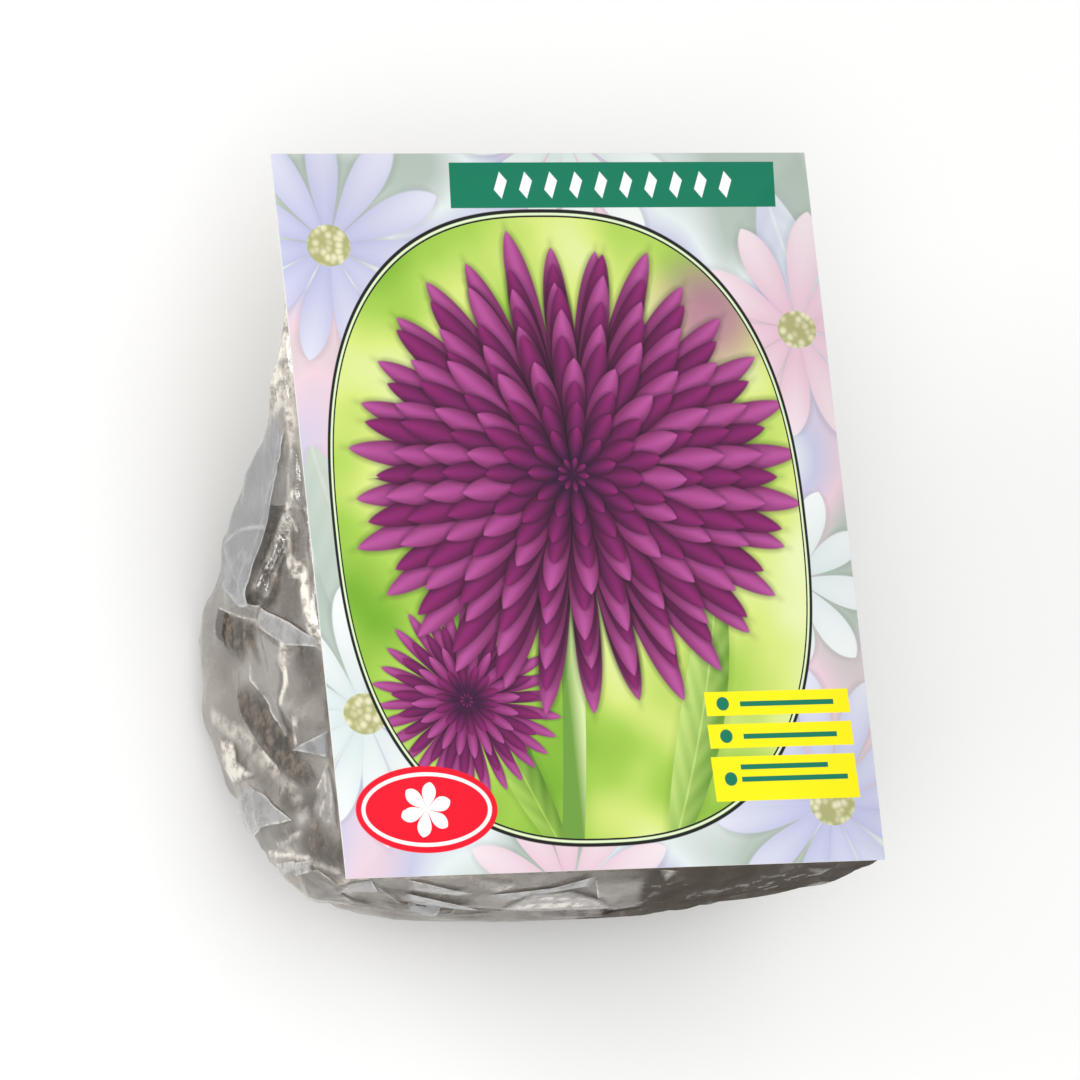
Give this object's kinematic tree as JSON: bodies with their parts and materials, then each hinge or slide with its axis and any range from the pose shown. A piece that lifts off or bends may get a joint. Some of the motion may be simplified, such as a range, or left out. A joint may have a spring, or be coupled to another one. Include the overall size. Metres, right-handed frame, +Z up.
{
  "type": "flower bulb pack",
  "caption": "Retail pack of a large flower bulb: a stiff picture card in front of a clear, crumpled film bag that holds the bulb in dark loose packing, lying on its back.",
  "frame": {"origin": "on the table, under the middle of the pack's bounding box", "axes": "+X towards the card's right edge, +Y towards its top edge, +Z up out of its printed face"},
  "size_m": [0.1852, 0.2182, 0.0799],
  "materials": {
    "card_print": "satin",
    "clear_film": "gloss",
    "bulb_skin": "matte",
    "loose_packing": "matte"
  },
  "bodies": {
    "root": {"picture_card": "card_print", "bag_film": "clear_film", "bulb": "bulb_skin", "packing": "loose_packing"}
  },
  "joints": []
}
